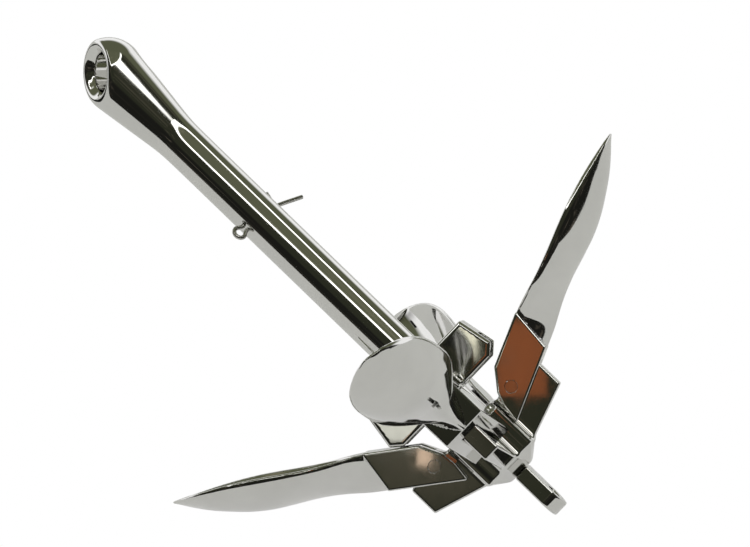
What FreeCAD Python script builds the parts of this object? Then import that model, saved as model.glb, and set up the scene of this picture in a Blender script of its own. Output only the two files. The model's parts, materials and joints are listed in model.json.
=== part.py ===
import FreeCAD, Part
import math
import os
from FreeCAD import Matrix, Placement, Rotation, Vector

# Folding grapnel anchor of polished cast steel.  A round shank ends in an eye, a crown
# under it carries four hinged flukes, and a winged collar slides on the shank: down, it
# holds the flukes open; up against the split pin, it lets them fold along the shank.
# Millimetres.  Everything is drawn about the shank (Z towards the shackle eye, 0 at the
# crown's pivots less PIVOT_Z; the flukes lie along +X, +Y, -X and -Y), and the finished
# anchor is then laid down on the ground, on two flukes and the trip eye.

# shank and shackle eye
SHANK_R = 14.8
HEAD_R = 23.2
HEAD_Z = 343.8
NECK_Z = 281.0
EYE_R = 12.5
EYE_MOUTH_R = 17.0
EYE_MOUTH_DEPTH = 4.5
EYE_FACE = 9.8             # from the ball's centre to the flat round the eye
EYE_BACK = 16.0            # from the ball's centre to the spot face behind it
EYE_BACK_R = 15.5
EYE_TURN = 225.0           # the eye looks out half way between two flukes
EYE_LEAN = 34.0            # and leans towards the shank's end
SPIGOT_R = 10.0
SPIGOT_LENGTH = 22.0

# crown
HUB_HALF = 20.0
HUB_TOP = 12.0
HUB_SIDE_BOTTOM = -25.0
HUB_BOTTOM = -34.0
HUB_BOTTOM_HALF = 9.0
HUB_CORNER = 4.0
FIN_R = 59.0
FIN_HALF = 6.2
FIN_HEIGHT = 21.0
FIN_OUTER_BOTTOM = -12.3
EAR_R = 10.0
PIVOT_R = 36.0
PIVOT_Z = 9.0
PIN_R = 4.0
PIN_CLEARANCE = 0.05

# trip-line eye under the crown
TRIP_HALF = 5.5
TRIP_END_R = 12.5
TRIP_HOLE_R = 6.5
TRIP_HOLE_Z = -57.0
TRIP_CHAMFER = 0.8
TRIP_TENON_R = 5.0
TRIP_TENON_LENGTH = 10.0

# flukes: along from the pivot, out from the shank when folded
FLUKE_LENGTH = 176.0
ROOT_HALF = 16.0
ROOT_IN = 15.0
ROOT_OUT = 11.8
ROOT_END_IN = 46.5         # the flat root ends here on its inner side
ROOT_END_OUT = 32.0        # and here on its outer side
HEEL_BACK = 20.3           # how far the heel reaches below the pivot
SLOT_HALF = 6.5
SLOT_R = 25.0
FOLDED_LEAN = 5.0          # outward lean of a folded fluke

# opening angle of each fluke from the shank: the two that the anchor lies on are pushed
# up against the collar, and the other two hang down to the crown's stop
OPEN_ANGLES = {
    "fluke_high_front": (270.0, 66.6),
    "fluke_high_side": (0.0, 67.4),
    "fluke_low_back": (90.0, 56.0),
    "fluke_low_side": (180.0, 52.2),
}

# half width, inner edge, thickness of the side edge, back, and how boxy the section is
# (1 is a V, 2 a bowl, more is flatter with steeper sides), at distances from the pivot
PALM = [
    (30.0, 15.4, -14.4, 3.0, 12.0, 1.5),
    (47.0, 16.2, -14.4, 3.0, 11.8, 1.5),
    (54.0, 19.4, -13.7, 3.0, 11.2, 1.55),
    (61.0, 23.4, -12.7, 3.0, 10.7, 1.65),
    (69.0, 27.2, -11.5, 3.0, 10.3, 1.85),
    (80.0, 30.0, -10.4, 3.0, 10.4, 2.1),
    (96.0, 31.3, -9.6, 3.2, 12.6, 2.3),
    (110.0, 31.3, -9.2, 3.4, 13.8, 2.4),
    (124.0, 30.4, -8.4, 3.4, 13.4, 2.4),
    (138.0, 27.8, -6.9, 3.0, 11.4, 2.4),
    (151.0, 23.4, -5.0, 2.6, 8.8, 2.4),
    (163.0, 16.4, -2.9, 2.0, 5.2, 2.3),
    (171.0, 9.4, -1.4, 1.4, 2.3, 2.1),
    (FLUKE_LENGTH, 2.0, -0.3, 0.6, 0.7, 2.0),
]
# how much of its full depth the palm's hollow has, at distances from the pivot
HOLLOW = [(46.0, 0.03), (54.0, 0.18), (62.0, 0.45), (70.0, 0.72), (80.0, 0.93), (92.0, 1.0),
          (110.0, 1.0), (124.0, 1.0), (138.0, 1.0), (151.0, 1.0), (160.0, 1.0), (167.0, 1.0)]
PALM_WALL = 3.6            # metal left under the hollow
RIM = 2.2                  # and at either side of it
HOLLOW_CLEAR = 4.0         # the hollow's cutter stands this far over the palm's edges
SECTION_STEPS = 6          # points on each half of a palm's curve

# collar
COLLAR_BOTTOM = 32.0
COLLAR_HEIGHT = 31.0
COLLAR_BORE_R = 15.2
COLLAR_SLEEVE_R = 19.6
WING_HALF = 15.8
WING_WALL = 3.0
WING_ROOT_R = 17.0
WING_BOTTOM_R = 40.5       # the underside is level as far out as this
WING_EDGE_R = 48.0         # then rises to the wing's outermost edge
WING_EDGE_RISE = 6.5
WING_TOP_R = 43.5
WING_LIP = 14.0            # height of the wall across a wing's outer end
COLLAR_TRAVEL = 136.0

# split pin that stops the collar
SPLIT_PIN_Z = 206.0
SPLIT_PIN_R = 2.9
SPLIT_PIN_HOLE_R = 3.1
SPLIT_PIN_TURN = 45.0
SPLIT_WIRE_R = 1.45
SPLIT_LOOP_R = 4.0
SPLIT_HALF = 17.0          # from the shank's axis to where the pin's ends turn
SPLIT_LONG_LEG = 24.0
SPLIT_SHORT_LEG = 8.0

X = Vector(1, 0, 0)
Y = Vector(0, 1, 0)
Z = Vector(0, 0, 1)
CENTRE = Vector(0, 0, 0)


def polygon(points):
    """Closed wire through the points."""
    return Part.makePolygon(list(points) + [points[0]])


def revolve(points):
    """Solid of the (radius, z) outline turned about Z."""
    face = Part.Face(polygon([Vector(r, 0, z) for r, z in points]))
    return face.revolve(CENTRE, Z, 360)


def slab(outline, half):
    """Solid of an outline of (x, z) points, half wide to either side along Y."""
    face = Part.Face(polygon([Vector(x, -half, z) for x, z in outline]))
    return face.extrude(Vector(0, 2 * half, 0))


def turned(shape, angle):
    """Copy of a shape turned about the shank."""
    copy = shape.copy()
    copy.rotate(CENTRE, Z, angle)
    return copy


def eye_direction():
    """Unit vector along the shackle eye, out of its flat."""
    flat = math.cos(math.radians(EYE_LEAN))
    turn = math.radians(EYE_TURN)
    return Vector(flat * math.cos(turn), flat * math.sin(turn), math.sin(math.radians(EYE_LEAN)))


def eye_centre():
    """Centre of the ball that the shackle eye goes through."""
    return Vector(0, 0, HEAD_Z)


def head():
    """Flared neck and ball end of the shank."""
    run = HEAD_Z - NECK_Z
    reach = math.hypot(SHANK_R, run)
    angle = math.atan2(SHANK_R, -run) - math.acos(HEAD_R / reach)
    touch = (HEAD_R * math.sin(angle), HEAD_Z + HEAD_R * math.cos(angle))
    cone = revolve([(0, NECK_Z), (SHANK_R, NECK_Z), touch, (0, touch[1])])
    return cone.fuse(Part.makeSphere(HEAD_R, eye_centre()))


def shank():
    """Shank with its spigot, split pin hole and leaning shackle eye."""
    bar = Part.makeCylinder(SHANK_R, NECK_Z - HUB_TOP, Vector(0, 0, HUB_TOP))
    spigot = Part.makeCylinder(SPIGOT_R, SPIGOT_LENGTH, Vector(0, 0, HUB_TOP - SPIGOT_LENGTH))
    solid = bar.fuse([head(), spigot]).removeSplitter()
    look = eye_direction()
    middle = eye_centre()
    face = middle + look * EYE_FACE
    cutters = [
        Part.makeCylinder(2 * HEAD_R, HEAD_R, face, look),
        Part.makeCylinder(EYE_R, 4 * HEAD_R, middle - look * 2 * HEAD_R, look),
        Part.makeCone(EYE_MOUTH_R, EYE_R, EYE_MOUTH_DEPTH, face, look * -1),
        Part.makeCylinder(EYE_BACK_R, 2 * HEAD_R, middle - look * EYE_BACK, look * -1),
        split_pin_hole(),
    ]
    return solid.cut(cutters)


def split_pin_axis():
    """Unit vector along the split pin, from its loop to its legs."""
    turn = math.radians(SPLIT_PIN_TURN)
    return Vector(math.cos(turn), math.sin(turn), 0)


def split_pin_hole():
    """Cutter for the cross hole of the split pin."""
    along = split_pin_axis()
    start = Vector(0, 0, SPLIT_PIN_Z) - along * 2 * SHANK_R
    return Part.makeCylinder(SPLIT_PIN_HOLE_R, 4 * SHANK_R, start, along)


def wire_run(start, end):
    """Round wire from start to end, with a ball at its end."""
    run = end - start
    rod = Part.makeCylinder(SPLIT_WIRE_R, run.Length, start, run)
    return rod.fuse(Part.makeSphere(SPLIT_WIRE_R, end))


def cotter_pin():
    """Split pin: a loop on one side of the shank and two spread legs on the other."""
    along = split_pin_axis()
    across = along.cross(Z)
    middle = Vector(0, 0, SPLIT_PIN_Z)
    start = middle - along * SPLIT_HALF
    rod = Part.makeCylinder(SPLIT_PIN_R, 2 * SPLIT_HALF, start, along)
    loop = Part.makeTorus(SPLIT_LOOP_R, SPLIT_WIRE_R, start - along * SPLIT_LOOP_R, across)
    end = middle + along * (SPLIT_HALF - SPLIT_WIRE_R)
    low = end - Z * SPLIT_WIRE_R
    high = end + Z * SPLIT_WIRE_R
    long_leg = wire_run(low, low + (along * 0.95 - Z * 0.31) * SPLIT_LONG_LEG)
    short_leg = wire_run(high, high + (along * 0.45 + Z * 0.89) * SPLIT_SHORT_LEG)
    return rod.fuse([loop, long_leg, short_leg]).removeSplitter()


def fin():
    """One fin of the crown, along +X, with the ear that carries the fluke's pin."""
    slope = (FIN_OUTER_BOTTOM - HUB_SIDE_BOTTOM) / (FIN_R - HUB_HALF)
    inner = HUB_BOTTOM_HALF
    inner_bottom = HUB_SIDE_BOTTOM + slope * (inner - HUB_HALF)
    blade = slab([
        (inner, inner_bottom),
        (FIN_R, FIN_OUTER_BOTTOM),
        (FIN_R, FIN_OUTER_BOTTOM + FIN_HEIGHT),
        (PIVOT_R + EAR_R, PIVOT_Z + 4),
        (PIVOT_R, PIVOT_Z + 2),
        (inner, PIVOT_Z),
    ], FIN_HALF)
    ear = Part.makeCylinder(EAR_R, 2 * FIN_HALF, Vector(PIVOT_R, -FIN_HALF, PIVOT_Z), Y)
    return blade.fuse(ear)


def square(half, corner, z):
    """Wire of a square with cut corners at height z."""
    near = half - corner
    points = [(half, -near), (half, near), (near, half), (-near, half),
              (-half, near), (-half, -near), (-near, -half), (near, -half)]
    return polygon([Vector(x, y, z) for x, y in points])


def crown():
    """Hub with four fins, bored for the shank's spigot and the trip eye's tenon."""
    block = Part.Face(square(HUB_HALF, HUB_CORNER, HUB_SIDE_BOTTOM))
    block = block.extrude(Vector(0, 0, HUB_TOP - HUB_SIDE_BOTTOM))
    under = Part.makeLoft([
        square(HUB_HALF, HUB_CORNER, HUB_SIDE_BOTTOM),
        square(HUB_BOTTOM_HALF, HUB_CORNER * HUB_BOTTOM_HALF / HUB_HALF, HUB_BOTTOM),
    ], True, True)
    fins = [turned(fin(), turn) for turn in (0, 90, 180, 270)]
    solid = block.fuse([under] + fins).removeSplitter()
    cutters = [Part.makeCylinder(SPIGOT_R, SPIGOT_LENGTH, Vector(0, 0, HUB_TOP - SPIGOT_LENGTH)),
               Part.makeCylinder(TRIP_TENON_R, TRIP_TENON_LENGTH, Vector(0, 0, HUB_BOTTOM))]
    for turn in (0, 90, 180, 270):
        hole = Part.makeCylinder(PIN_R, 4 * FIN_HALF, Vector(PIVOT_R, -2 * FIN_HALF, PIVOT_Z), Y)
        cutters.append(turned(hole, turn))
    return solid.cut(cutters)


def trip_eye():
    """Flat lug under the crown, with a hole along X for the trip line."""
    at_end = Vector(-TRIP_HALF, 0, TRIP_HOLE_Z)
    disc = Part.makeCylinder(TRIP_END_R, 2 * TRIP_HALF, at_end, X)
    plate = Part.makeBox(2 * TRIP_HALF, 2 * TRIP_END_R, HUB_BOTTOM - TRIP_HOLE_Z,
                         Vector(-TRIP_HALF, -TRIP_END_R, TRIP_HOLE_Z))
    neck = Part.makeCylinder(TRIP_TENON_R, TRIP_TENON_LENGTH, Vector(0, 0, HUB_BOTTOM))
    solid = disc.fuse([plate, neck]).removeSplitter()
    hole = Part.makeCylinder(TRIP_HOLE_R, 2 * TRIP_HALF, at_end, X)
    wide = TRIP_HOLE_R + TRIP_CHAMFER
    mouths = [Part.makeCone(wide, TRIP_HOLE_R, TRIP_CHAMFER, at_end, X),
              Part.makeCone(wide, TRIP_HOLE_R, TRIP_CHAMFER, at_end + X * 2 * TRIP_HALF, X * -1)]
    return solid.cut([hole] + mouths)


def palm_curve(along, half, low, rise, power):
    """Curved edge across a palm, from its right side to its left."""
    shares = [step / SECTION_STEPS for step in range(SECTION_STEPS, -SECTION_STEPS - 1, -1)]
    curve = Part.BSplineCurve()
    curve.interpolate([Vector(low + rise * (1 - abs(share) ** power), half * share, along)
                       for share in shares])
    return curve.toShape()


def section(along, half, inner, side, rise, power):
    """Closed wire across a palm or its hollow: straight on the inner side, curved behind."""
    left = Vector(inner, -half, along)
    right = Vector(inner, half, along)
    low = inner + side
    return Part.Wire([
        Part.LineSegment(left, right).toShape(),
        Part.LineSegment(right, Vector(low, half, along)).toShape(),
        palm_curve(along, half, low, rise, power),
        Part.LineSegment(Vector(low, -half, along), left).toShape(),
    ])


def palm_at(along):
    """The palm's sizes at a distance from the pivot."""
    for near, far in zip(PALM, PALM[1:]):
        if near[0] <= along <= far[0]:
            share = (along - near[0]) / (far[0] - near[0])
            return [a + share * (b - a) for a, b in zip(near, far)]
    return PALM[-1]


def palm_section(along, half, inner, side, back, power):
    """Section of the palm's outer shape."""
    return section(along, half, inner, side, back - inner - side, power)


def hollow_section(along, filled):
    """Section of the palm's hollow, open over the palm's edges."""
    _, half, inner, _, back, power = palm_at(along)
    depth = (back - inner - PALM_WALL) * filled
    return section(along, half - RIM, inner - HOLLOW_CLEAR, HOLLOW_CLEAR, depth, power)


def folded_fluke():
    """Fluke along Z with its pivot at the origin, its back towards +X."""
    blade = Part.makeLoft([palm_section(*row) for row in PALM], True, False)
    root = slab([
        (-ROOT_IN, 8.0),
        (-11.1, 0.6),
        (-7.2, -6.9),
        (-0.4, -13.5),
        (7.9, -18.2),
        (ROOT_OUT, -HEEL_BACK),
        (ROOT_OUT, ROOT_END_OUT),
        (-ROOT_IN, ROOT_END_IN),
    ], ROOT_HALF)
    hollow = Part.makeLoft([hollow_section(*row) for row in HOLLOW], True, False)
    slot = Part.makeCylinder(SLOT_R, 2 * SLOT_HALF, Vector(0, -SLOT_HALF, 0), Y)
    hole = Part.makeCylinder(PIN_R + PIN_CLEARANCE, 4 * ROOT_HALF, Vector(0, -2 * ROOT_HALF, 0), Y)
    return root.fuse(blade).removeSplitter().cut([hollow, slot, hole])


def placed_fluke(shape, turn, opening):
    """Fluke hung on its pin and opened to an angle from the shank."""
    copy = shape.copy()
    copy.rotate(CENTRE, Y, opening)
    copy.translate(Vector(PIVOT_R, 0, PIVOT_Z))
    copy.rotate(CENTRE, Z, turn)
    return copy


def pivot_pin(turn):
    """Pin through a fin's ear and both cheeks of a fluke, its ends ground flush."""
    pin = Part.makeCylinder(PIN_R, 2 * ROOT_HALF, Vector(PIVOT_R, -ROOT_HALF, PIVOT_Z), Y)
    return turned(pin, turn)


def wing():
    """One hollow wing of the collar, along +X, open below and over its lower outer end."""
    top = COLLAR_BOTTOM + COLLAR_HEIGHT
    outline = [
        (WING_ROOT_R, COLLAR_BOTTOM),
        (WING_BOTTOM_R, COLLAR_BOTTOM),
        (WING_EDGE_R, COLLAR_BOTTOM + WING_EDGE_RISE),
        (WING_TOP_R, top),
        (WING_ROOT_R, top),
    ]
    body = slab(outline, WING_HALF)
    room = WING_HALF - WING_WALL
    hollow = Part.makeBox(WING_TOP_R - WING_WALL, 2 * room, COLLAR_HEIGHT - WING_WALL,
                          Vector(0, -room, COLLAR_BOTTOM))
    mouth = Part.makeBox(2 * WING_EDGE_R, 2 * room, COLLAR_HEIGHT - WING_LIP,
                         Vector(0, -room, COLLAR_BOTTOM))
    return body.cut([hollow, mouth])


def collar():
    """Sleeve on the shank with a wing over each fluke's root."""
    sleeve = Part.makeCylinder(COLLAR_SLEEVE_R, COLLAR_HEIGHT, Vector(0, 0, COLLAR_BOTTOM))
    wings = [turned(wing(), turn) for turn in (0, 90, 180, 270)]
    bore = Part.makeCylinder(COLLAR_BORE_R, 2 * COLLAR_HEIGHT, Vector(0, 0, COLLAR_BOTTOM - 5))
    return sleeve.fuse(wings).removeSplitter().cut(bore)


def anchor():
    """Every piece about the shank, by name."""
    pieces = {"shank": shank(), "crown": crown(), "trip_eye": trip_eye(), "collar": collar(),
              "cotter_pin": cotter_pin()}
    fluke = folded_fluke()
    for name, (turn, opening) in OPEN_ANGLES.items():
        pieces[name] = placed_fluke(fluke, turn, opening)
        pieces[name.replace("fluke", "pivot_pin")] = pivot_pin(turn)
    return pieces


def surface_points(shape):
    """Points on a shape's surface, close enough to find its outline."""
    return shape.tessellate(0.1)[0]


def ground_direction(feet_of):
    """Upward direction of the plane that three pieces stand on together."""
    upward = Vector(0.55, -0.55, 0.62)
    for _ in range(20):
        feet = [min(points, key=upward.dot) for points in feet_of]
        normal = (feet[1] - feet[0]).cross(feet[2] - feet[0])
        normal.normalize()
        upward = normal if normal.dot(upward) > 0 else normal * -1
    return upward


def laid_down(pieces):
    """Placement that lays the anchor on the ground, its shank's end towards +X."""
    standing = ("trip_eye", "fluke_low_back", "fluke_low_side")
    upward = ground_direction([surface_points(pieces[name]) for name in standing])
    forward = Z - upward * Z.dot(upward)
    forward.normalize()
    sideways = upward.cross(forward)
    turn = Placement(Matrix(forward.x, forward.y, forward.z, 0,
                            sideways.x, sideways.y, sideways.z, 0,
                            upward.x, upward.y, upward.z, 0,
                            0, 0, 0, 1))
    points = [turn.multVec(p) for shape in pieces.values() for p in surface_points(shape)]
    low = [min(p[i] for p in points) for i in range(3)]
    high = [max(p[i] for p in points) for i in range(3)]
    shift = Vector(-(low[0] + high[0]) / 2, -(low[1] + high[1]) / 2, -low[2])
    return Placement(shift, Rotation()).multiply(turn)


PIECES = anchor()
LAID = laid_down(PIECES)

os.makedirs("parts", exist_ok=True)
for name, shape in PIECES.items():
    placed = shape.copy()
    placed.transformShape(LAID.toMatrix())
    placed.exportStep("parts/" + name + ".step")
    print(name, "valid", placed.isValid(), "solids", len(placed.Solids),
          "volume cm3 %.1f" % (placed.Volume / 1000))
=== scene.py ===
import json
import math

import bpy
import numpy as np
from mathutils import Matrix, Vector

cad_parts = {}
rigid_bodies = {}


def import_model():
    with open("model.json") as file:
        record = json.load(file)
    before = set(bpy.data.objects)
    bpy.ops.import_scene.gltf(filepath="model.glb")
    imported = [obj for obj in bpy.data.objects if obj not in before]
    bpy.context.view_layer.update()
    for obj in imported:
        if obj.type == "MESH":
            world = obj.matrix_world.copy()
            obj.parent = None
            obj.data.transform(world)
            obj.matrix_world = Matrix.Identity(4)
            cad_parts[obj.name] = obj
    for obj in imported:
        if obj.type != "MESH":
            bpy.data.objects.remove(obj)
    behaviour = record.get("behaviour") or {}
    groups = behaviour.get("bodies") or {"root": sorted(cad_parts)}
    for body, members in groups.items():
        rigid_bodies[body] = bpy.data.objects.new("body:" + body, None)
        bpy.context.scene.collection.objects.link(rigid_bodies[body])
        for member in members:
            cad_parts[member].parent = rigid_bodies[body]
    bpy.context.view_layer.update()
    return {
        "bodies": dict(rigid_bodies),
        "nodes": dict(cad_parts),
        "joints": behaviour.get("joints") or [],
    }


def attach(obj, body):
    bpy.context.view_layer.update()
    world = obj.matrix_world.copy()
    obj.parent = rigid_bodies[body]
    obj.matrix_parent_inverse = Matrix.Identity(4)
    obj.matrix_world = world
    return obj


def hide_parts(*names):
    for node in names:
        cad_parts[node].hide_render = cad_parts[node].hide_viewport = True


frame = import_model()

MM = 0.001

# A folding grapnel anchor, polished all over.  Shapes are drawn in millimetres about the
# shank (Z towards the shackle eye, flukes along +X, +Y, -X and -Y) as distance fields:
# a field is negative inside the metal, and surface() meshes where it is zero.

# shank and shackle eye
SHANK_R = 14.8
HEAD_R = 23.2
HEAD_Z = 343.8
NECK_Z = 281.0
NECK_SLOPE = 0.135         # how fast the neck widens
NECK_SOFT = 6.0            # length over which it starts to
EYE_R = 12.5
EYE_MOUTH_R = 17.0
EYE_MOUTH_DEPTH = 4.5
EYE_FACE = 9.8             # from the ball's centre to the flat round the eye
EYE_BACK = 16.0            # and to the spot face behind it
EYE_BACK_R = 15.5
EYE_TURN = math.radians(225.0)
EYE_LEAN = math.radians(34.0)
SPIGOT_R = 10.0
SPIGOT_BOTTOM = -10.0

# crown
HUB_HALF = 20.0
HUB_TOP = 12.0
HUB_SIDE_BOTTOM = -25.0
HUB_BOTTOM = -34.0
HUB_BOTTOM_HALF = 9.0
HUB_CORNER = 4.0
FIN_R = 59.0
FIN_HALF = 6.2
FIN_HEIGHT = 21.0
FIN_OUTER_BOTTOM = -12.3
EAR_R = 10.0
PIVOT_R = 36.0
PIVOT_Z = 9.0
PIN_HOLE_R = 4.04          # leaves a hairline round the ground pins

# trip-line eye
TRIP_HALF = 5.5
TRIP_END_R = 12.5
TRIP_HOLE_R = 6.5
TRIP_HOLE_Z = -57.0
TRIP_MOUTH = 1.6           # rounding of the hole's mouths

# flukes
FLUKE_LENGTH = 176.0
ROOT_HALF = 16.0
SLOT_HALF = 6.5
SLOT_R = 25.0
FOLDED_LEAN = 5.0
JOINT_MARGIN = 0.02        # degrees that a fold's range goes past the folded place
ROOT_OUTLINE = [(-15.0, 8.0), (-11.1, 0.6), (-7.2, -6.9), (-0.4, -13.5), (7.9, -18.2),
                (11.8, -20.3), (11.8, 32.0), (-15.0, 46.5)]
# distance from the pivot, half width, inner edge, edge thickness, back, and how boxy the
# section is: 1 is a V, 2 a bowl, more is flatter with steeper sides
PALM = [
    (30.0, 15.4, -14.4, 3.0, 12.0, 1.5),
    (47.0, 16.2, -14.4, 3.0, 11.8, 1.5),
    (54.0, 19.4, -13.7, 3.0, 11.2, 1.55),
    (61.0, 23.4, -12.7, 3.0, 10.7, 1.65),
    (69.0, 27.2, -11.5, 3.0, 10.5, 1.85),
    (80.0, 30.0, -10.4, 3.0, 10.9, 2.1),
    (96.0, 31.3, -9.6, 3.2, 12.6, 2.3),
    (110.0, 31.3, -9.2, 3.4, 13.8, 2.4),
    (124.0, 30.4, -8.4, 3.4, 13.4, 2.4),
    (138.0, 27.8, -6.9, 3.0, 11.4, 2.4),
    (151.0, 23.4, -5.0, 2.6, 8.8, 2.4),
    (163.0, 16.4, -2.9, 2.0, 5.2, 2.3),
    (171.0, 9.4, -1.4, 1.4, 2.3, 2.1),
    (FLUKE_LENGTH, 2.0, -0.3, 0.6, 0.7, 2.0),
]
# how much of its full depth the palm's hollow has, at distances from the pivot
HOLLOW = [(46.0, 0.03), (54.0, 0.18), (62.0, 0.45), (70.0, 0.72), (80.0, 0.93), (92.0, 1.0),
          (110.0, 1.0), (124.0, 1.0), (138.0, 1.0), (151.0, 1.0), (160.0, 1.0), (167.0, 1.0)]
PALM_WALL = 3.6            # metal left under the hollow
RIM = 2.2                  # and at either side of it
NARROWEST_HOLLOW = 0.5     # half width, where the palm is no wider than its rims
FLUKE_LOW = (-15.5, -32.0, -21.0)
FLUKE_HIGH = (14.5, 32.0, FLUKE_LENGTH)

# collar
COLLAR_BOTTOM = 32.0
COLLAR_HEIGHT = 31.0
COLLAR_BORE_R = 15.2
COLLAR_SLEEVE_R = 19.6
WING_HALF = 15.8
WING_WALL = 3.0
WING_BOTTOM_R = 40.5
WING_EDGE_R = 48.0
WING_EDGE_RISE = 6.5
WING_TOP_R = 43.5
WING_LIP = 14.0            # height of the wall across a wing's outer end

# split pin
SPLIT_PIN_Z = 206.0
SPLIT_TURN = math.radians(45.0)
SPLIT_WIRE_R = 1.45
SPLIT_LOOP_R = 4.0
SPLIT_HALF = 17.0
SPLIT_LONG_LEG = 24.0
SPLIT_SHORT_LEG = 8.0

# size of the cells that the pieces are meshed with
MESH_STEP = 0.9
COLLAR_STEP = 0.8
TRIP_STEP = 0.6

JOINTS = {joint["name"]: joint for joint in frame["joints"]}


# ---- where the anchor lies ---------------------------------------------------------

def anchor_place():
    """Matrix from the anchor's own millimetres to the row frame's metres."""
    along_z = Vector(JOINTS["collar_slide"]["axis"])
    along_y = -Vector(JOINTS["fold_high_side"]["axis"])
    along_x = along_y.cross(along_z)
    folds = [joint for joint in frame["joints"] if joint["type"] == "hinge"]
    middle = sum((Vector(joint["pos_m"]) for joint in folds), Vector()) / len(folds)
    origin = middle - along_z * PIVOT_Z * MM
    turn = Matrix((along_x, along_y, along_z)).transposed().to_4x4()
    return Matrix.Translation(origin) @ turn @ Matrix.Scale(MM, 4)


ANCHOR = anchor_place()


def fluke_place(name):
    """Matrix from a fluke's own millimetres, folded along Z, to its open place."""
    joint = JOINTS[name.replace("fluke", "fold")]
    pivot = ANCHOR.inverted() @ Vector(joint["pos_m"])
    opening = joint["range_deg"][1] - JOINT_MARGIN + FOLDED_LEAN
    return (ANCHOR @ Matrix.Rotation(math.atan2(pivot.y, pivot.x), 4, "Z")
            @ Matrix.Translation((PIVOT_R, 0, PIVOT_Z))
            @ Matrix.Rotation(math.radians(opening), 4, "Y"))


# ---- distance fields ---------------------------------------------------------------

def meet(a, b, blend):
    """Inside both fields, with the edge between them rounded over blend."""
    near = np.maximum(blend - np.abs(a - b), 0)
    return np.maximum(a, b) + near * near / (4 * blend)


def join(a, b, blend):
    """Inside either field, with a fillet between them."""
    return -meet(-a, -b, blend)


def cut(a, b, blend):
    """Inside a but not b, with the edge rounded."""
    return meet(a, -b, blend)


def round_cone(radius, z, low, low_r, high, high_r):
    """Distance to the hull of two balls on the Z axis, in (radius, z)."""
    slope = (low_r - high_r) / (high - low)
    rise = math.sqrt(1 - slope * slope)
    side = radius * -slope + (z - low) * rise
    at_low = np.hypot(radius, z - low) - low_r
    at_high = np.hypot(radius, z - high) - high_r
    on_cone = radius * rise + (z - low) * slope - low_r
    return np.where(side < 0, at_low, np.where(side > (high - low) * rise, at_high, on_cone))


def inset(points, by):
    """A closed outline's corners, moved inwards so that its edges move by a distance."""
    found = []
    area = sum(a[0] * b[1] - b[0] * a[1] for a, b in zip(points, points[1:] + points[:1]))
    sign = 1 if area > 0 else -1
    for before, here, after in zip(points[-1:] + points[:-1], points, points[1:] + points[:1]):
        into = np.subtract(here, before) / np.linalg.norm(np.subtract(here, before))
        out = np.subtract(after, here) / np.linalg.norm(np.subtract(after, here))
        normal = sign * np.array((-into[1] - out[1], into[0] + out[0]))
        found.append(np.array(here) + normal * by / (1 + into @ out))
    return found


def outline(u, v, points, rounding):
    """Distance to a closed outline in a plane, its outer corners rounded."""
    corners = inset(points, rounding)
    best = np.full(u.shape, np.inf)
    flips = np.ones(u.shape)
    for here, before in zip(corners, corners[-1:] + corners[:-1]):
        edge = before - here
        off_u = u - here[0]
        off_v = v - here[1]
        share = np.clip((off_u * edge[0] + off_v * edge[1]) / (edge @ edge), 0, 1)
        best = np.minimum(best, (off_u - edge[0] * share) ** 2 + (off_v - edge[1] * share) ** 2)
        above = v >= here[1]
        below = v < before[1]
        left = edge[0] * off_v > edge[1] * off_u
        flips = np.where((above & below & left) | (~above & ~below & ~left), -flips, flips)
    return flips * np.sqrt(best) - rounding


def smooth_table(rows, column, z):
    """A column of a table as a smooth function of the first column."""
    at = np.array([row[0] for row in rows])
    value = np.array([row[column] for row in rows])
    slope = np.gradient(value, at)
    z = np.clip(z, at[0], at[-1])
    i = np.clip(np.searchsorted(at, z) - 1, 0, len(at) - 2)
    width = at[i + 1] - at[i]
    t = (z - at[i]) / width
    return (value[i] * (1 + 2 * t) * (1 - t) ** 2 + slope[i] * width * t * (1 - t) ** 2
            + value[i + 1] * t * t * (3 - 2 * t) + slope[i + 1] * width * t * t * (t - 1))


# ---- meshing -----------------------------------------------------------------------

CORNERS = [(i, j, k) for i in (0, 1) for j in (0, 1) for k in (0, 1)]
EDGES = [(a, b) for a in CORNERS for b in CORNERS
         if sum(b) - sum(a) == 1 and all(x <= y for x, y in zip(a, b))]


def gradient(field, points, step=0.02):
    """Slope of a field at each point."""
    found = np.empty_like(points)
    for axis in range(3):
        shift = np.zeros(3)
        shift[axis] = step
        found[:, axis] = (field(points + shift) - field(points - shift)) / (2 * step)
    return found


def window(grid, corner):
    """The grid's values at one corner of every cell."""
    return grid[tuple(slice(c, c - 1 if c == 0 else None) for c in corner)]


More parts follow.
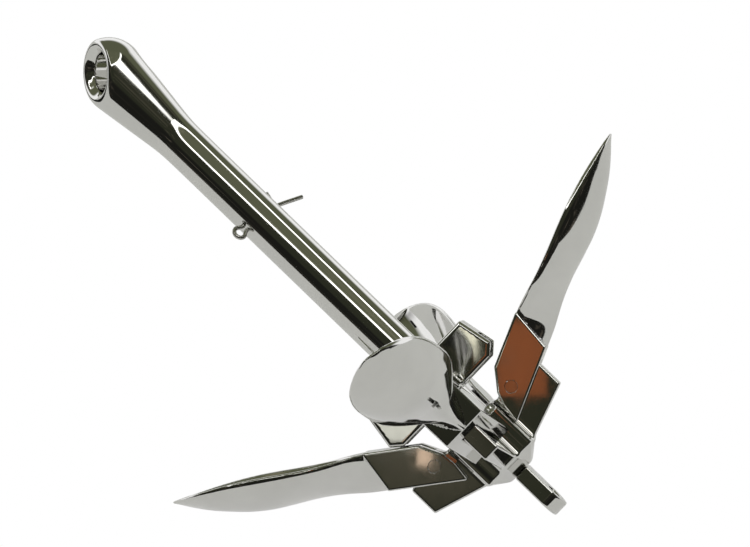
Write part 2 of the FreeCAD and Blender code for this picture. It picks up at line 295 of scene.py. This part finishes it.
def surface(field, low, high, step):
    """Points, quads and normals of the surface where a field is zero."""
    axes = [np.arange(a - 2 * step, b + 2 * step, step) for a, b in zip(low, high)]
    grid = np.stack(np.meshgrid(*axes, indexing="ij"), -1)
    value = field(grid)
    cells = tuple(n - 1 for n in value.shape)
    total = np.zeros(cells + (3,))
    count = np.zeros(cells)
    for a, b in EDGES:
        at_a = window(value, a)
        at_b = window(value, b)
        crossed = (at_a < 0) != (at_b < 0)
        share = np.where(crossed, at_a / np.where(crossed, at_a - at_b, 1), 0)
        for axis in range(3):
            total[..., axis] += np.where(crossed, a[axis] + share * (b[axis] - a[axis]), 0)
        count += crossed
    used = count > 0
    index = np.full(cells, -1)
    index[used] = np.arange(used.sum())
    corner = np.array([axis[0] for axis in axes])
    points = corner + step * (np.argwhere(used) + total[used] / count[used][:, None])
    quads = []
    for axis in range(3):
        u, v = (axis + 1) % 3, (axis + 2) % 3
        ahead = np.roll(value < 0, -1, axis)
        crossed = (value < 0) != ahead
        inner = [slice(1, -1)] * 3
        inner[axis] = slice(0, -1)
        mask = np.zeros_like(crossed)
        mask[tuple(inner)] = crossed[tuple(inner)]
        at = np.argwhere(mask)
        around = []
        for du, dv in ((1, 1), (0, 1), (0, 0), (1, 0)):
            cell = at.copy()
            cell[:, u] -= du
            cell[:, v] -= dv
            around.append(index[tuple(cell.T)])
        quad = np.stack(around, 1)
        leaving = (value < 0)[tuple(at.T)]
        quads.append(np.where(leaving[:, None], quad, quad[:, ::-1]))
    for _ in range(4):
        slope = gradient(field, points)
        size = np.maximum((slope * slope).sum(1), 0.04)
        move = -(field(points) / size)[:, None] * slope
        far = np.maximum(np.linalg.norm(move, axis=1, keepdims=True) / step, 1)
        points = points + move / far
    slope = gradient(field, points)
    return points, np.concatenate(quads), slope / np.linalg.norm(slope, axis=1, keepdims=True)


def mesh_object(name, points, quads, normals, place, material):
    """Smooth object from a surface's points, put in its place in metres."""
    matrix = np.array(place)
    placed = points @ matrix[:3, :3].T + matrix[:3, 3]
    mesh = bpy.data.meshes.new(name)
    mesh.from_pydata(placed.tolist(), [], quads.tolist())
    mesh.polygons.foreach_set("use_smooth", np.ones(len(quads), bool))
    turned = normals @ matrix[:3, :3].T
    turned /= np.linalg.norm(turned, axis=1, keepdims=True)
    mesh.normals_split_custom_set_from_vertices(turned.tolist())
    mesh.materials.append(material)
    made = bpy.data.objects.new(name, mesh)
    bpy.context.scene.collection.objects.link(made)
    return made


def hand_over(piece, body, node):
    """A finished piece takes a CAD node's place on its body."""
    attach(piece, body)
    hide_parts(node)


# ---- materials ---------------------------------------------------------------------

def polished_steel(name, colour, roughness, spread, waviness, scratches):
    """Mirror polished steel: faint waves from the casting under fine polishing lines."""
    material = bpy.data.materials.new(name)
    material.use_nodes = True
    tree = material.node_tree
    nodes = tree.nodes
    links = tree.links
    shader = nodes["Principled BSDF"]
    shader.inputs["Metallic"].default_value = 1.0
    place = nodes.new("ShaderNodeTexCoord").outputs["Object"]

    tint = nodes.new("ShaderNodeTexNoise")
    tint.inputs["Scale"].default_value = 34.0
    tint.inputs["Detail"].default_value = 3.0
    links.new(place, tint.inputs["Vector"])
    ramp = nodes.new("ShaderNodeValToRGB")
    ramp.color_ramp.elements[0].position = 0.3
    ramp.color_ramp.elements[1].position = 0.75
    ramp.color_ramp.elements[0].color = (*[0.93 * c for c in colour], 1)
    ramp.color_ramp.elements[1].color = (*colour, 1)
    links.new(tint.outputs["Fac"], ramp.inputs["Fac"])
    links.new(ramp.outputs["Color"], shader.inputs["Base Color"])

    smear = nodes.new("ShaderNodeTexNoise")
    smear.inputs["Scale"].default_value = 90.0
    smear.inputs["Detail"].default_value = 5.0
    links.new(place, smear.inputs["Vector"])
    rough = nodes.new("ShaderNodeMapRange")
    rough.inputs["From Min"].default_value = 0.35
    rough.inputs["From Max"].default_value = 0.7
    rough.inputs["To Min"].default_value = roughness
    rough.inputs["To Max"].default_value = roughness + spread
    links.new(smear.outputs["Fac"], rough.inputs["Value"])
    links.new(rough.outputs["Result"], shader.inputs["Roughness"])

    waves = nodes.new("ShaderNodeTexNoise")
    waves.inputs["Scale"].default_value = 45.0
    waves.inputs["Detail"].default_value = 1.0
    links.new(place, waves.inputs["Vector"])
    wavy = nodes.new("ShaderNodeBump")
    wavy.inputs["Strength"].default_value = 1.0
    wavy.inputs["Distance"].default_value = waviness * MM
    links.new(waves.outputs["Fac"], wavy.inputs["Height"])

    stretch = nodes.new("ShaderNodeMapping")
    stretch.inputs["Rotation"].default_value = (0.5, -0.63, 0.4)
    stretch.inputs["Scale"].default_value = (60.0, 900.0, 900.0)
    links.new(place, stretch.inputs["Vector"])
    lines = nodes.new("ShaderNodeTexNoise")
    lines.inputs["Scale"].default_value = 1.0
    lines.inputs["Detail"].default_value = 2.0
    links.new(stretch.outputs["Vector"], lines.inputs["Vector"])
    fine = nodes.new("ShaderNodeBump")
    fine.inputs["Strength"].default_value = 1.0
    fine.inputs["Distance"].default_value = scratches * MM
    links.new(lines.outputs["Fac"], fine.inputs["Height"])
    links.new(wavy.outputs["Normal"], fine.inputs["Normal"])
    links.new(fine.outputs["Normal"], shader.inputs["Normal"])
    return material


MIRROR = polished_steel("mirror_steel", (0.83, 0.825, 0.81), 0.035, 0.05, 0.012, 0.0006)
WIRE = polished_steel("drawn_wire", (0.72, 0.71, 0.69), 0.16, 0.10, 0.004, 0.0012)
PIN_END = polished_steel("ground_pin", (0.80, 0.795, 0.78), 0.06, 0.08, 0.008, 0.0010)


# ---- the pieces --------------------------------------------------------------------

def eye_direction():
    """Unit vector along the shackle eye, out of its flat."""
    flat = math.cos(EYE_LEAN)
    return np.array((flat * math.cos(EYE_TURN), flat * math.sin(EYE_TURN), math.sin(EYE_LEAN)))


def shank_field(p):
    """Round shank, flaring into the ball that the leaning eye goes through."""
    radius = np.hypot(p[..., 0], p[..., 1])
    z = p[..., 2]
    above = z - NECK_Z
    swell = NECK_SLOPE * (above + np.hypot(above, NECK_SOFT)) / 2
    bar = meet(radius - SHANK_R - swell, z - HEAD_Z, 1.0)
    solid = np.minimum(bar, round_cone(radius, z, NECK_Z, SHANK_R, HEAD_Z, HEAD_R))
    solid = meet(solid, HUB_TOP - z, 0.5)
    spigot = meet(radius - SPIGOT_R, SPIGOT_BOTTOM - z, 0.5)
    solid = np.minimum(solid, meet(spigot, z - NECK_Z, 0.5))
    look = eye_direction()
    middle = np.array((0, 0, HEAD_Z))
    run = (p - middle) @ look
    around = np.linalg.norm(p - middle - run[..., None] * look, axis=-1)
    solid = meet(solid, run - EYE_FACE, 2.4)
    back = meet(around - EYE_BACK_R, run + EYE_BACK, 1.5)
    solid = cut(solid, back, 1.5)
    flare = (EYE_MOUTH_R - EYE_R) / EYE_MOUTH_DEPTH
    level = EYE_R + flare * (run - EYE_FACE + EYE_MOUTH_DEPTH)
    cone = (around - level) / math.hypot(1, flare)
    solid = cut(solid, meet(cone, -run, 1.0), 1.4)
    return cut(solid, around - EYE_R, 1.2)


def folded(p):
    """Coordinates along and across the nearest of the four arms, and height."""
    x = np.abs(p[..., 0])
    y = np.abs(p[..., 1])
    return np.maximum(x, y), np.minimum(x, y), p[..., 2]


def crown_field(p):
    """Hub with four fins that end in the flukes' ears."""
    along, across, z = folded(p)
    corner = (along + across - 2 * HUB_HALF + HUB_CORNER) / math.sqrt(2)
    hub = meet(along - HUB_HALF, corner, 2.0)
    hub = meet(hub, np.abs(z - (HUB_TOP + HUB_SIDE_BOTTOM) / 2)
               - (HUB_TOP - HUB_SIDE_BOTTOM) / 2, 2.0)
    slant = (HUB_SIDE_BOTTOM - HUB_BOTTOM) / (HUB_HALF - HUB_BOTTOM_HALF)
    under = (along - HUB_BOTTOM_HALF - (z - HUB_BOTTOM) / slant) / math.hypot(1, 1 / slant)
    under = meet(meet(under, HUB_BOTTOM - z, 1.5), z - HUB_TOP + 5, 1.0)
    hub = join(hub, meet(under, along - HUB_HALF, 1.0), 1.5)
    slope = (FIN_OUTER_BOTTOM - HUB_SIDE_BOTTOM) / (FIN_R - HUB_HALF)
    blade = outline(along, z, [
        (0.0, HUB_SIDE_BOTTOM - slope * HUB_HALF),
        (FIN_R, FIN_OUTER_BOTTOM),
        (FIN_R, FIN_OUTER_BOTTOM + FIN_HEIGHT),
        (PIVOT_R + EAR_R, PIVOT_Z + 4),
        (PIVOT_R, PIVOT_Z + 2),
        (0.0, PIVOT_Z),
    ], 1.2)
    ear = np.hypot(along - PIVOT_R, z - PIVOT_Z) - EAR_R
    fin = meet(join(blade, ear, 3.0), across - FIN_HALF, 1.6)
    return join(hub, fin, 4.0)


def trip_field(p):
    """Flat lug with a round end and the trip line's hole."""
    x, y, z = p[..., 0], p[..., 1], p[..., 2]
    disc = np.hypot(y, z - TRIP_HOLE_Z) - TRIP_END_R
    plate = np.maximum(np.abs(y) - TRIP_END_R, TRIP_HOLE_Z - z)
    flat = meet(np.minimum(disc, plate), z - HUB_BOTTOM, 0.6)
    solid = meet(flat, np.abs(x) - TRIP_HALF, 1.6)
    hole = np.hypot(y, z - TRIP_HOLE_Z) - TRIP_HOLE_R
    return cut(solid, hole, TRIP_MOUTH)


def trough(x, y, low, half, rise, power):
    """Distance behind a palm's curved back, or the floor of its hollow."""
    share = np.abs(y) / half
    slope = rise * power * share ** (power - 1) / half
    return (x - low - rise * (1 - share ** power)) / np.hypot(1, slope)


def fluke_field(p):
    """Spoon-shaped fluke with a forked root, folded along Z, its back towards +X."""
    x, y, z = p[..., 0], p[..., 1], p[..., 2]
    half, inner, side, back, power = (smooth_table(PALM, column, z) for column in range(1, 6))
    shell = trough(x, y, inner + side, half, back - inner - side, power)
    blade = meet(meet(shell, inner - x, 1.4), np.abs(y) - half, 1.4)
    blade = meet(meet(blade, z - FLUKE_LENGTH, 0.6), PALM[0][0] - z, 0.5)
    root = meet(outline(x, z, ROOT_OUTLINE, 1.0), np.abs(y) - ROOT_HALF, 1.3)
    solid = np.minimum(root, blade)
    depth = (back - inner - PALM_WALL) * smooth_table(HOLLOW, 1, z)
    room = np.maximum(half - RIM, NARROWEST_HOLLOW)
    hollow = trough(x, y, inner, room, depth, power)
    hollow = meet(hollow, HOLLOW[0][0] - z, 1.5)
    hollow = meet(hollow, z - HOLLOW[-1][0], 1.0)
    solid = cut(solid, hollow, 0.9)
    slot = meet(np.hypot(x, z) - SLOT_R, np.abs(y) - SLOT_HALF, 0.8)
    solid = cut(solid, slot, 1.2)
    return np.maximum(solid, PIN_HOLE_R - np.hypot(x, z))


def collar_field(p):
    """Sleeve with four hollow wings, open below."""
    along, across, z = folded(p)
    radius = np.hypot(p[..., 0], p[..., 1])
    top = COLLAR_BOTTOM + COLLAR_HEIGHT
    levels = np.abs(z - (top + COLLAR_BOTTOM) / 2) - COLLAR_HEIGHT / 2
    sleeve = meet(radius - COLLAR_SLEEVE_R, levels, 1.5)
    wing = outline(along, z, [
        (0.0, COLLAR_BOTTOM),
        (WING_BOTTOM_R, COLLAR_BOTTOM),
        (WING_EDGE_R, COLLAR_BOTTOM + WING_EDGE_RISE),
        (WING_TOP_R, top),
        (0.0, top),
    ], 1.5)
    wing = meet(wing, across - WING_HALF, 3.0)
    room = WING_HALF - WING_WALL
    hollow = meet(along - WING_TOP_R + WING_WALL, z - top + WING_WALL, 3.0)
    hollow = meet(hollow, across - room, 3.0)
    mouth = meet(across - room, z - top + WING_LIP, 2.0)
    mouth = meet(mouth, COLLAR_SLEEVE_R - along, 2.0)
    wing = cut(wing, hollow, 1.0)
    wing = cut(wing, mouth, 1.0)
    solid = join(wing, sleeve, 2.5)
    solid = cut(solid, radius - COLLAR_BORE_R, 1.4)
    return meet(solid, levels, 0.5)


def cast_piece(name, field, low, high, step):
    """Piece meshed from its field about the shank and put in its place."""
    points, quads, normals = surface(field, low, high, step)
    return mesh_object(name, points, quads, normals, ANCHOR, MIRROR)


def tube(name, route, radius, material):
    """Round wire along a smooth line of points."""
    curve = bpy.data.curves.new(name, "CURVE")
    curve.dimensions = "3D"
    curve.bevel_depth = radius * MM
    curve.bevel_resolution = 8
    curve.use_fill_caps = True
    spline = curve.splines.new("NURBS")
    spline.points.add(len(route) - 1)
    for point, at in zip(spline.points, route):
        point.co = (*(ANCHOR @ Vector(at)), 1)
    spline.use_endpoint_u = True
    spline.order_u = 4
    spline.resolution_u = 16
    holder = bpy.data.objects.new(name, curve)
    bpy.context.scene.collection.objects.link(holder)
    bpy.context.view_layer.update()
    mesh = bpy.data.meshes.new_from_object(holder.evaluated_get(
        bpy.context.evaluated_depsgraph_get()))
    bpy.data.objects.remove(holder)
    mesh.name = name
    mesh.materials.clear()
    mesh.materials.append(material)
    mesh.polygons.foreach_set("use_smooth", np.ones(len(mesh.polygons), bool))
    made = bpy.data.objects.new(name, mesh)
    bpy.context.scene.collection.objects.link(made)
    return made


def make_castings():
    """Shank, crown, trip eye and collar."""
    wide = HEAD_R + 0.5
    shank = cast_piece("shank_polished", shank_field, (-wide, -wide, SPIGOT_BOTTOM),
                       (wide, wide, HEAD_Z + HEAD_R), MESH_STEP)
    hand_over(shank, "shank_and_crown", "shank")
    crown = cast_piece("crown_polished", crown_field, (-FIN_R, -FIN_R, HUB_BOTTOM),
                       (FIN_R, FIN_R, PIVOT_Z + EAR_R), MESH_STEP)
    hand_over(crown, "shank_and_crown", "crown")
    lug = cast_piece("trip_eye_polished", trip_field,
                     (-TRIP_HALF, -TRIP_END_R, TRIP_HOLE_Z - TRIP_END_R),
                     (TRIP_HALF, TRIP_END_R, HUB_BOTTOM), TRIP_STEP)
    hand_over(lug, "shank_and_crown", "trip_eye")
    reach = WING_EDGE_R
    collar = cast_piece("collar_polished", collar_field, (-reach, -reach, COLLAR_BOTTOM),
                        (reach, reach, COLLAR_BOTTOM + COLLAR_HEIGHT), COLLAR_STEP)
    hand_over(collar, "collar", "collar")


def make_flukes():
    """Four flukes from one surface."""
    names = [name for name in frame["bodies"] if name.startswith("fluke")]
    points, quads, normals = surface(fluke_field, FLUKE_LOW, FLUKE_HIGH, MESH_STEP)
    for name in names:
        fluke = mesh_object(name + "_polished", points, quads, normals, fluke_place(name), MIRROR)
        hand_over(fluke, name, name)


def make_split_pin():
    """Split pin: one wire bent into a loop, its two legs side by side in the hole."""
    along = Vector((math.cos(SPLIT_TURN), math.sin(SPLIT_TURN), 0))
    up = Vector((0, 0, 1))
    middle = Vector((0, 0, SPLIT_PIN_Z))
    neck = middle - along * SPLIT_HALF
    gap = up * SPLIT_WIRE_R
    out = middle + along * (SPLIT_HALF - SPLIT_WIRE_R)
    ring = neck - along * SPLIT_LOOP_R
    turns = 9
    loop = []
    for i in range(1, turns):
        angle = math.radians(30 + 300 * i / turns)
        loop.append(ring + (along * math.cos(angle) + up * math.sin(angle)) * SPLIT_LOOP_R)
    long_end = out - gap + (along * 0.95 - up * 0.31) * SPLIT_LONG_LEG
    short_end = out + gap + (along * 0.45 + up * 0.89) * SPLIT_SHORT_LEG
    route = [short_end, out + gap * 1.4 + along * 2, out + gap, middle + gap, neck + gap]
    route += loop
    route += [neck - gap, middle - gap, out - gap, out - gap + along * 5 - up * 1.6, long_end]
    pin = tube("split_pin", route, SPLIT_WIRE_R, WIRE)
    hand_over(pin, "shank_and_crown", "cotter_pin")


def finish_pins():
    """The pivot pins keep their CAD shape and get their own steel."""
    for name, node in frame["nodes"].items():
        if name.startswith("pivot_pin"):
            node.data.materials.clear()
            node.data.materials.append(PIN_END)


# ---- studio ------------------------------------------------------------------------

# the camera, about the anchor like everything else: its place and its picture's directions
VIEW_FROM = Vector((186.9, -2081.0, -31.1))
VIEW_RIGHT = Vector((0.6879, 0.1068, -0.7179))
VIEW_UP = Vector((0.7217, 0.0039, 0.6922))
VIEW_LENS = 153.6
FLOOR_REACH = 4.0          # metres that the floor runs to the sides and behind
FLOOR_FRONT = 0.52         # metres that it runs towards the camera
BLACK = (0.006, 0.006, 0.005)
DARK_OLIVE = (0.020, 0.022, 0.013)
OLIVE = (0.105, 0.112, 0.068)
WHITE = (1.0, 1.0, 1.0)
TUBE_LIGHT = (2.6, 2.6, 2.5)
BROWN = (0.20, 0.060, 0.020)
PALE_YELLOW = (0.80, 0.78, 0.62)
PALE_GREY = (0.60, 0.60, 0.54)
SKIN = (0.62, 0.46, 0.34)
CLUTTER = (0.10, 0.085, 0.065)
# cards that show in faces looking along -Y: the face's point, and the card's size in
# metres, colour and glow
CARDS = {
    "card_brown": ((54, -16, 17), (0.040, 0.062), BROWN, 0.6),
    "card_yellow": ((33, -15.8, 56), (0.034, 0.030), PALE_YELLOW, 0.7),
    "card_grey": ((-33, -15.8, 50), (0.060, 0.036), PALE_GREY, 0.7),
    "card_skin": ((-35.4, -16, 18), (0.012, 0.017), SKIN, 0.6),
}
CARD_AWAY = 0.5            # metres from the face
EYE_CARD_AWAY = 0.3
EYE_CARD_SIZE = (0.056, 0.056)


def make_camera():
    """Long lens, looking down on the anchor."""
    data = bpy.data.cameras.new("camera")
    data.lens = VIEW_LENS
    data.sensor_width = 36.0
    data.clip_end = 50.0
    camera = bpy.data.objects.new("camera", data)
    bpy.context.scene.collection.objects.link(camera)
    turn = ANCHOR.to_3x3().normalized()
    right = turn @ VIEW_RIGHT
    up = turn @ VIEW_UP
    axes = Matrix((right, up, right.cross(up))).transposed().to_4x4()
    camera.matrix_world = Matrix.Translation(ANCHOR @ VIEW_FROM) @ axes
    bpy.context.scene.camera = camera
    return camera


def plain_material(name, colour, roughness, glow):
    """Matt surface that also gives a little light of its own."""
    material = bpy.data.materials.new(name)
    material.use_nodes = True
    shader = material.node_tree.nodes["Principled BSDF"]
    shader.inputs["Base Color"].default_value = (*colour, 1)
    shader.inputs["Roughness"].default_value = roughness
    shader.inputs["Emission Color"].default_value = (*colour, 1)
    shader.inputs["Emission Strength"].default_value = glow
    return material


def make_floor(towards):
    """Plain pale floor that ends a little way towards the camera."""
    mesh = bpy.data.meshes.new("floor")
    far = FLOOR_REACH
    mesh.from_pydata([(-far, -far, 0), (FLOOR_FRONT, -far, 0), (FLOOR_FRONT, far, 0),
                      (-far, far, 0)], [], [(0, 1, 2, 3)])
    mesh.materials.append(plain_material("floor_white", (0.85, 0.85, 0.85), 0.9, 0.42))
    floor = bpy.data.objects.new("floor", mesh)
    bpy.context.scene.collection.objects.link(floor)
    floor.rotation_euler.z = math.atan2(towards.y, towards.x)
    floor.visible_camera = False


def card_in(name, camera, point, normal, away, size, colour, strength):
    """Studio card put where the camera sees it mirrored in a face of the anchor."""
    face = ANCHOR @ Vector(point)
    normal = (ANCHOR.to_3x3() @ Vector(normal)).normalized()
    ray = (face - camera.matrix_world.translation).normalized()
    bounce = ray - 2 * ray.dot(normal) * normal
    mesh = bpy.data.meshes.new(name)
    wide, high = size[0] / 2, size[1] / 2
    mesh.from_pydata([(-wide, -high, 0), (wide, -high, 0), (wide, high, 0), (-wide, high, 0)],
                     [], [(0, 1, 2, 3)])
    mesh.materials.append(plain_material(name, colour, 1.0, strength))
    card = bpy.data.objects.new(name, mesh)
    bpy.context.scene.collection.objects.link(card)
    card.location = face + bounce * away
    card.rotation_mode = "QUATERNION"
    card.rotation_quaternion = (-bounce).to_track_quat("Z", "Y")
    card.visible_camera = False
    card.visible_shadow = False


def elevation_ramp(tree, level, stops):
    """Colours of the surround by how high it is, from -1 straight down to 1 overhead."""
    ramp = tree.nodes.new("ShaderNodeValToRGB")
    elements = ramp.color_ramp.elements
    while len(elements) < len(stops):
        elements.new(0.5)
    for element, (height, colour) in zip(elements, stops):
        element.position = (height + 1) / 2
        element.color = (*colour, 1)
    tree.links.new(level, ramp.inputs["Fac"])
    return ramp.outputs["Color"]


def make_surround(towards):
    """White paper behind the anchor, a dim olive room with a tube light before it."""
    world = bpy.data.worlds.new("surround")
    bpy.context.scene.world = world
    world.use_nodes = True
    tree = world.node_tree
    nodes, links = tree.nodes, tree.links
    way = nodes.new("ShaderNodeTexCoord").outputs["Generated"]
    split = nodes.new("ShaderNodeSeparateXYZ")
    links.new(way, split.inputs["Vector"])
    level = nodes.new("ShaderNodeMapRange")
    level.inputs["From Min"].default_value = -1.0
    links.new(split.outputs["Z"], level.inputs["Value"])
    room = elevation_ramp(tree, level.outputs["Result"], [
        (-1.0, BLACK), (0.34, BLACK), (0.42, DARK_OLIVE), (0.745, DARK_OLIVE),
        (0.755, TUBE_LIGHT), (0.785, TUBE_LIGHT), (0.80, OLIVE), (1.0, OLIVE)])
    blobs = nodes.new("ShaderNodeTexNoise")
    blobs.inputs["Scale"].default_value = 9.0
    blobs.inputs["Detail"].default_value = 3.0
    links.new(way, blobs.inputs["Vector"])
    things = nodes.new("ShaderNodeValToRGB")
    things.color_ramp.elements[0].position = 0.57
    things.color_ramp.elements[1].position = 0.74
    things.color_ramp.elements[0].color = (*BLACK, 1)
    things.color_ramp.elements[1].color = (*CLUTTER, 1)
    links.new(blobs.outputs["Fac"], things.inputs["Fac"])
    crowded = nodes.new("ShaderNodeMix")
    crowded.data_type = "RGBA"
    crowded.blend_type = "ADD"
    crowded.inputs["Factor"].default_value = 1.0
    links.new(room, crowded.inputs["A"])
    links.new(things.outputs["Color"], crowded.inputs["B"])
    paper = elevation_ramp(tree, level.outputs["Result"], [
        (-1.0, WHITE), (0.25, WHITE), (0.42, OLIVE), (1.0, OLIVE)])
    front = nodes.new("ShaderNodeVectorMath")
    front.operation = "DOT_PRODUCT"
    front.inputs[1].default_value = towards
    links.new(way, front.inputs[0])
    share = nodes.new("ShaderNodeMapRange")
    share.interpolation_type = "SMOOTHSTEP"
    share.inputs["From Min"].default_value = -0.30
    share.inputs["From Max"].default_value = -0.10
    links.new(front.outputs["Value"], share.inputs["Value"])
    mix = nodes.new("ShaderNodeMix")
    mix.data_type = "RGBA"
    links.new(share.outputs["Result"], mix.inputs["Factor"])
    links.new(paper, mix.inputs["A"])
    links.new(crowded.outputs["Result"], mix.inputs["B"])
    studio = nodes["Background"]
    links.new(mix.outputs["Result"], studio.inputs["Color"])
    plain = nodes.new("ShaderNodeBackground")
    plain.inputs["Color"].default_value = (*WHITE, 1)
    seen = nodes.new("ShaderNodeLightPath").outputs["Is Camera Ray"]
    either = nodes.new("ShaderNodeMixShader")
    links.new(seen, either.inputs["Fac"])
    links.new(studio.outputs["Background"], either.inputs[1])
    links.new(plain.outputs["Background"], either.inputs[2])
    links.new(either.outputs["Shader"], nodes["World Output"].inputs["Surface"])


def make_studio():
    """Camera, floor, surround and the cards that show in the steel."""
    camera = make_camera()
    towards = camera.matrix_world.translation.copy()
    towards.z = 0
    towards.normalize()
    make_floor(towards)
    make_surround(towards)
    for name, (point, size, colour, glow) in CARDS.items():
        card_in(name, camera, point, (0, -1, 0), CARD_AWAY, size, colour, glow)
    mouth = Vector((0, 0, HEAD_Z)) + Vector(eye_direction()) * EYE_FACE
    card_in("card_black", camera, mouth, eye_direction(), EYE_CARD_AWAY, EYE_CARD_SIZE,
            BLACK, 1.0)
    bpy.context.scene.view_settings.view_transform = "Standard"


make_studio()
make_castings()
make_flukes()
make_split_pin()
finish_pins()
